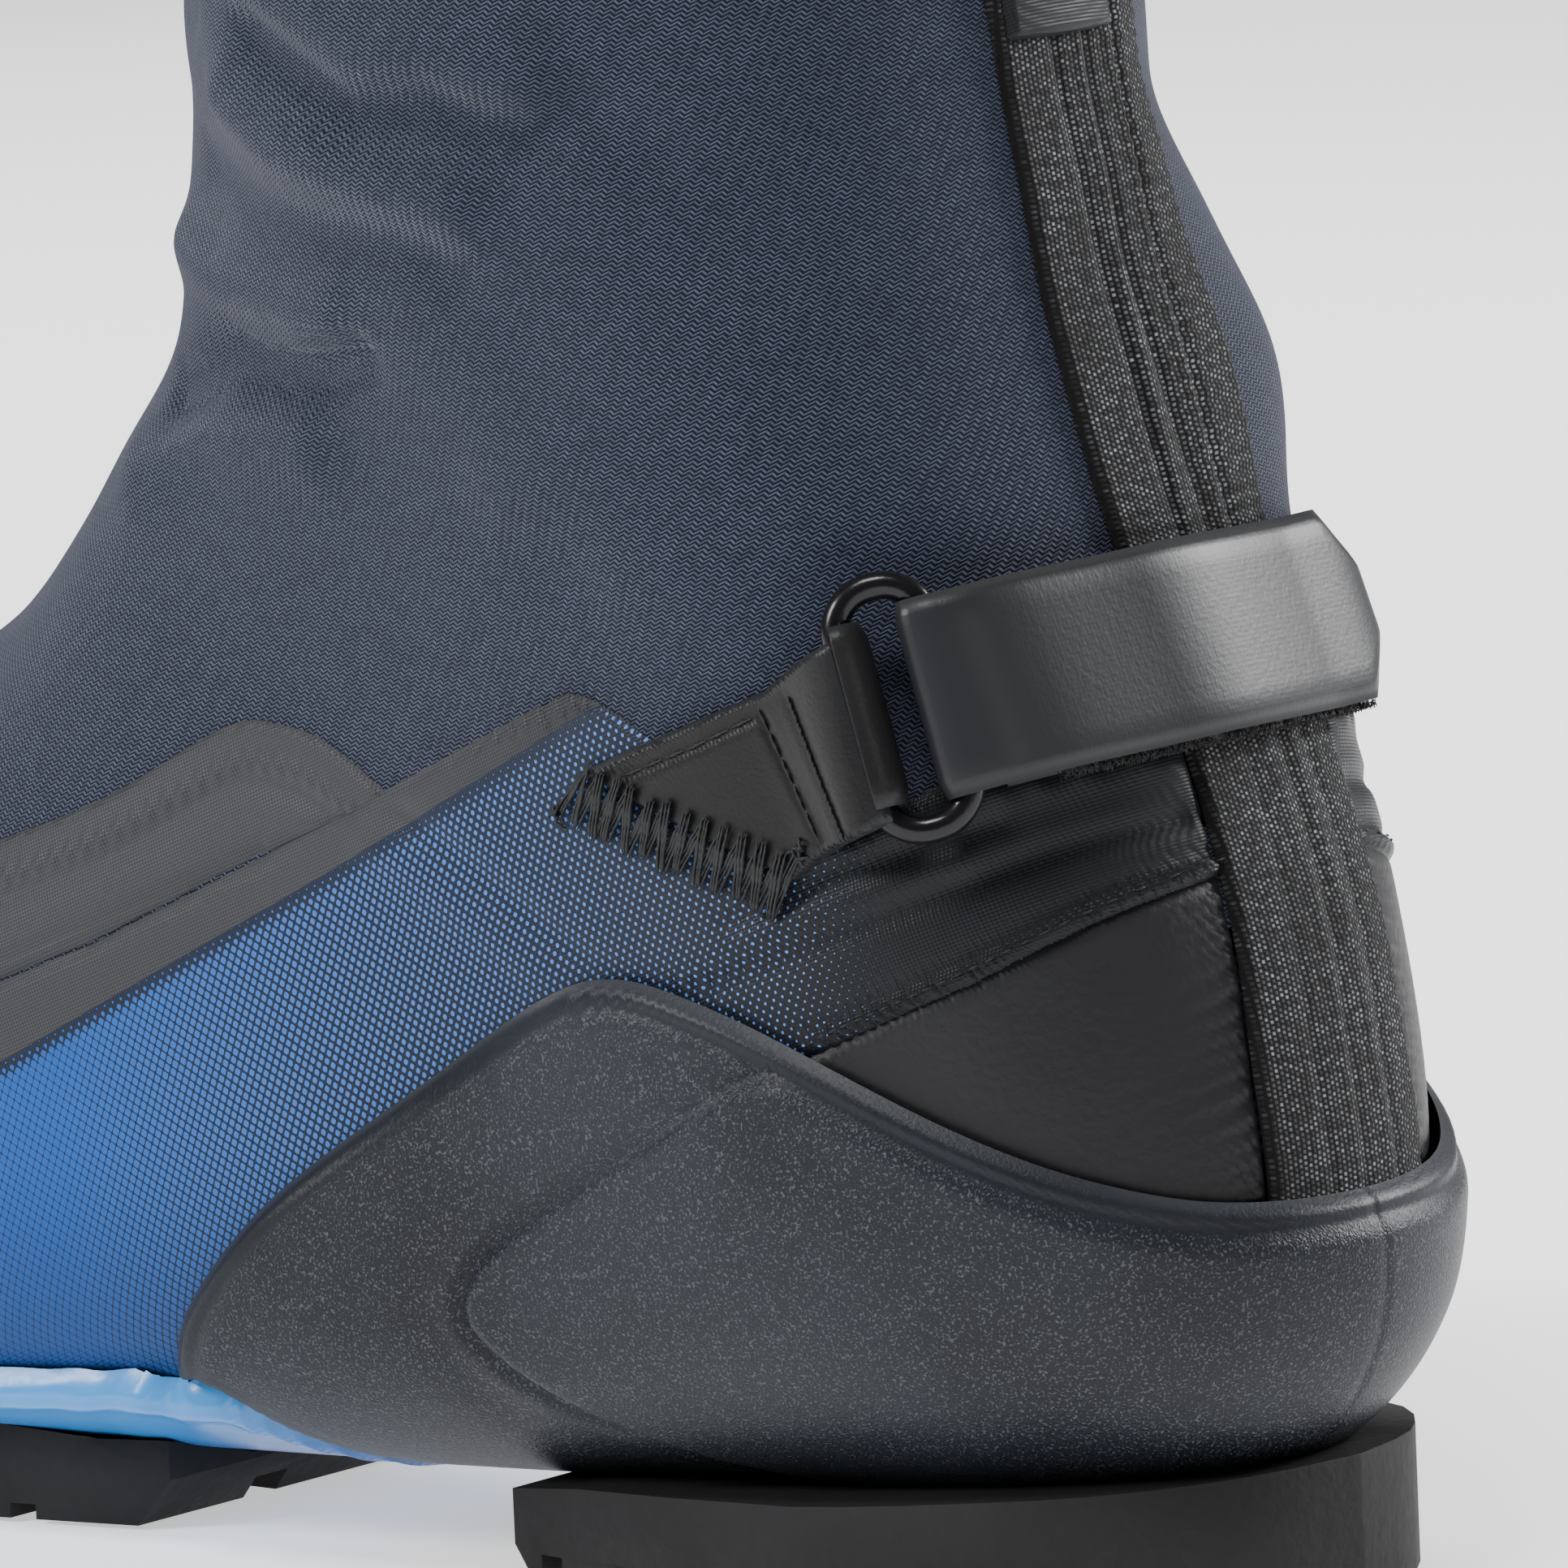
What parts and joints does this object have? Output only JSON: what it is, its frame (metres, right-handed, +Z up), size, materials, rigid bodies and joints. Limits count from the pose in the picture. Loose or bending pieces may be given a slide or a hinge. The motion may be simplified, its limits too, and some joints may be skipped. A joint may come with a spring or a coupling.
{
  "type": "cross country ski boot",
  "caption": "Left cross country ski boot with zipped softshell cover, laced inner, moulded heel cup, heel strap with ring, and a soled chassis with a toe bar.",
  "frame": {"origin": "middle of the heel pad's flat underside, on the ground", "axes": "+X to the toe, +Y to the outer side of a left boot, +Z up"},
  "size_m": [0.3048, 0.099, 0.1897],
  "materials": {
    "softshell": "navy ribbed stretch softshell",
    "lining": "dark grey padded lining",
    "webbing": "black ribbed knit tape and webbing",
    "blue_film": "grey film with a blue dot print",
    "grey_film": "satin grey welded film",
    "suede": "fine grained dark synthetic",
    "strap_face": "satin dark grey laminate on webbing",
    "cup": "black moulded plastic, lightly speckled",
    "blue_plastic": "glossy sky blue moulded plastic",
    "hard_plastic": "black moulded plastic",
    "rubber": "black rubber",
    "board": "pressed fibre board",
    "steel": "polished steel",
    "black_metal": "glossy black enamelled metal",
    "lace": "round braided grey cord"
  },
  "bodies": {
    "boot": {"cover_lateral": "softshell", "cover_medial": "softshell", "collar_binding": "webbing", "liner": "lining", "tongue": "lining", "footbed": "lining", "lasting_board": "board", "inner_quarter_lateral": "suede", "inner_quarter_medial": "suede", "heel_counter": "hard_plastic", "toe_puff": "hard_plastic", "lace": "lace", "lace_guides_lateral": "hard_plastic", "lace_guides_medial": "hard_plastic", "zip_tape_lateral": "webbing", "zip_tape_medial": "webbing", "zip_teeth_lateral": "hard_plastic", "zip_teeth_medial": "hard_plastic", "zip_stop": "steel", "side_film_lateral": "blue_film", "side_film_medial": "blue_film", "instep_film_lateral": "grey_film", "instep_film_medial": "grey_film", "heel_panel_lateral": "suede", "heel_panel_medial": "suede", "back_tape": "webbing", "heel_cup": "cup", "sole_chassis": "blue_plastic", "toe_cap": "rubber", "outsole_forefoot": "rubber", "outsole_heel": "rubber", "bar_holder": "hard_plastic", "toe_bar": "steel", "strap_run": "strap_face", "strap_anchor_tab": "grey_film", "strap_patch_medial": "grey_film"},
    "ring": {"strap_ring": "black_metal"},
    "strap_tail": {"strap_end": "strap_face"},
    "slider": {"zip_slider": "black_metal"},
    "puller": {"zip_puller": "black_metal"},
    "lock": {"lace_lock": "hard_plastic", "lace_lock_spring": "steel"},
    "lock_button": {"lace_lock_button": "strap_face"},
    "loop": {"pull_loop": "webbing"}
  },
  "joints": [
    {"name": "ring_pivot", "type": "hinge", "parent": "boot", "child": "ring", "pos_m": [-0.00769, 0.03867, 0.09182], "axis": [-0.313, 0.0346, -0.9491], "range_deg": [0, 12]},
    {"name": "strap_peel", "type": "hinge", "parent": "ring", "child": "strap_tail", "pos_m": [-0.01443, 0.03274, 0.09383], "axis": [-0.313, 0.0346, -0.9491], "range_deg": [0, 100]},
    {"name": "zip_slide", "type": "slide", "parent": "boot", "child": "slider", "axis": [0.1089, 0, -0.9941], "range_m": [0, 0.044]},
    {"name": "puller_swing", "type": "hinge", "parent": "slider", "child": "puller", "pos_m": [0.10243, 0, 0.18261], "axis": [0, -1, 0], "range_deg": [0, 150]},
    {"name": "lock_slide", "type": "slide", "parent": "boot", "child": "lock", "axis": [0.1089, 0, -0.9941], "range_m": [-0.007, 0.012]},
    {"name": "lock_press", "type": "slide", "parent": "lock", "child": "lock_button", "axis": [0.1089, 0, -0.9941], "range_m": [0, 0.0025], "stiffness_N_per_m": 400, "deforming": ["lace_lock_spring"]},
    {"name": "loop_flex", "type": "hinge", "parent": "boot", "child": "loop", "pos_m": [-0.0075, 0, 0.165], "axis": [0, 1, 0], "range_deg": [-70, 15], "stiffness_Nm_per_rad": 0.02}
  ]
}
